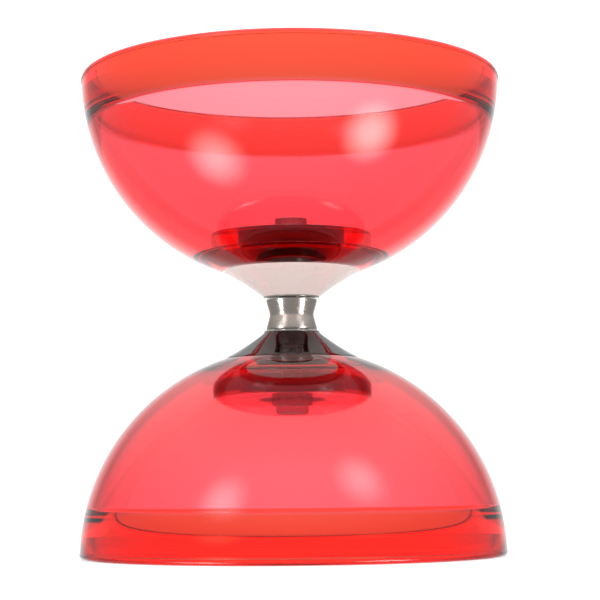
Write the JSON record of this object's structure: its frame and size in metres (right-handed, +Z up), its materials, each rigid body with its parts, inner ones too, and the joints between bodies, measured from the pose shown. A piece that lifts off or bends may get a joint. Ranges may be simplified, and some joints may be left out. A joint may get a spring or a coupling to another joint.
{
  "type": "diabolo",
  "caption": "Spinning diabolo: clear moulded cups back to back on an axle, with a waisted steel bobbin between them that turns on ball bearings.",
  "frame": {"origin": "centre of the lower cup's rim, on the surface that the diabolo stands on", "axes": "+Z up along the axle, which is the axis of symmetry; +Y is the picture's line of sight, with +X to the right"},
  "size_m": [0.12, 0.12, 0.1364],
  "materials": {
    "clear_red_polycarbonate": "clear tinted, injection moulded, polished",
    "white_abs": "opaque, moulded, gloss",
    "smoked_polycarbonate": "smoked clear, moulded, gloss",
    "black_acetal": "turned, satin",
    "turned_stainless_steel": "fine turned",
    "polished_steel": "polished sheet",
    "zinc_plated_steel": "bright zinc plate",
    "natural_nylon": "moulded",
    "bearing_steel": "ground and polished",
    "bearing_brass": "machined"
  },
  "bodies": {
    "cups": {"upper_cup": "clear_red_polycarbonate", "upper_hub_cone": "white_abs", "upper_centring_bush": "black_acetal", "upper_dust_washer": "polished_steel", "upper_shim_ring": "bearing_steel", "lower_cup": "clear_red_polycarbonate", "lower_hub_cone": "smoked_polycarbonate", "lower_centring_bush": "black_acetal", "lower_dust_washer": "polished_steel", "lower_shim_ring": "bearing_steel", "axle_stud": "zinc_plated_steel", "nut_seats": "black_acetal", "lock_nuts": "zinc_plated_steel", "lock_nut_inserts": "natural_nylon", "lower_bearing_inner_ring": "bearing_steel", "middle_bearing_inner_ring": "bearing_steel", "upper_bearing_inner_ring": "bearing_steel"},
    "bobbin": {"bobbin_sleeve": "turned_stainless_steel", "lower_bearing_outer_ring": "bearing_steel", "lower_bearing_shields": "bearing_steel", "middle_bearing_outer_ring": "bearing_steel", "middle_bearing_shields": "bearing_steel", "upper_bearing_outer_ring": "bearing_steel", "upper_bearing_shields": "bearing_steel"},
    "lower_ball_cage": {"lower_bearing_cage": "bearing_brass", "lower_bearing_balls": "bearing_steel"},
    "middle_ball_cage": {"middle_bearing_cage": "bearing_brass", "middle_bearing_balls": "bearing_steel"},
    "upper_ball_cage": {"upper_bearing_cage": "bearing_brass", "upper_bearing_balls": "bearing_steel"}
  },
  "joints": [
    {"name": "bobbin_spin", "type": "hinge", "parent": "cups", "child": "bobbin", "pos_m": [0, 0, 0.0682], "axis": [0, 0, 1], "continuous": true},
    {"name": "lower_cage_spin", "type": "hinge", "parent": "cups", "child": "lower_ball_cage", "pos_m": [0, 0, 0.0652], "axis": [0, 0, 1], "continuous": true},
    {"name": "middle_cage_spin", "type": "hinge", "parent": "cups", "child": "middle_ball_cage", "pos_m": [0, 0, 0.0682], "axis": [0, 0, 1], "continuous": true},
    {"name": "upper_cage_spin", "type": "hinge", "parent": "cups", "child": "upper_ball_cage", "pos_m": [0, 0, 0.0712], "axis": [0, 0, 1], "continuous": true}
  ],
  "couplings": [
    {"joint": "lower_cage_spin", "follows": "bobbin_spin", "ratio": 0.5745},
    {"joint": "middle_cage_spin", "follows": "bobbin_spin", "ratio": 0.5745},
    {"joint": "upper_cage_spin", "follows": "bobbin_spin", "ratio": 0.5745}
  ]
}
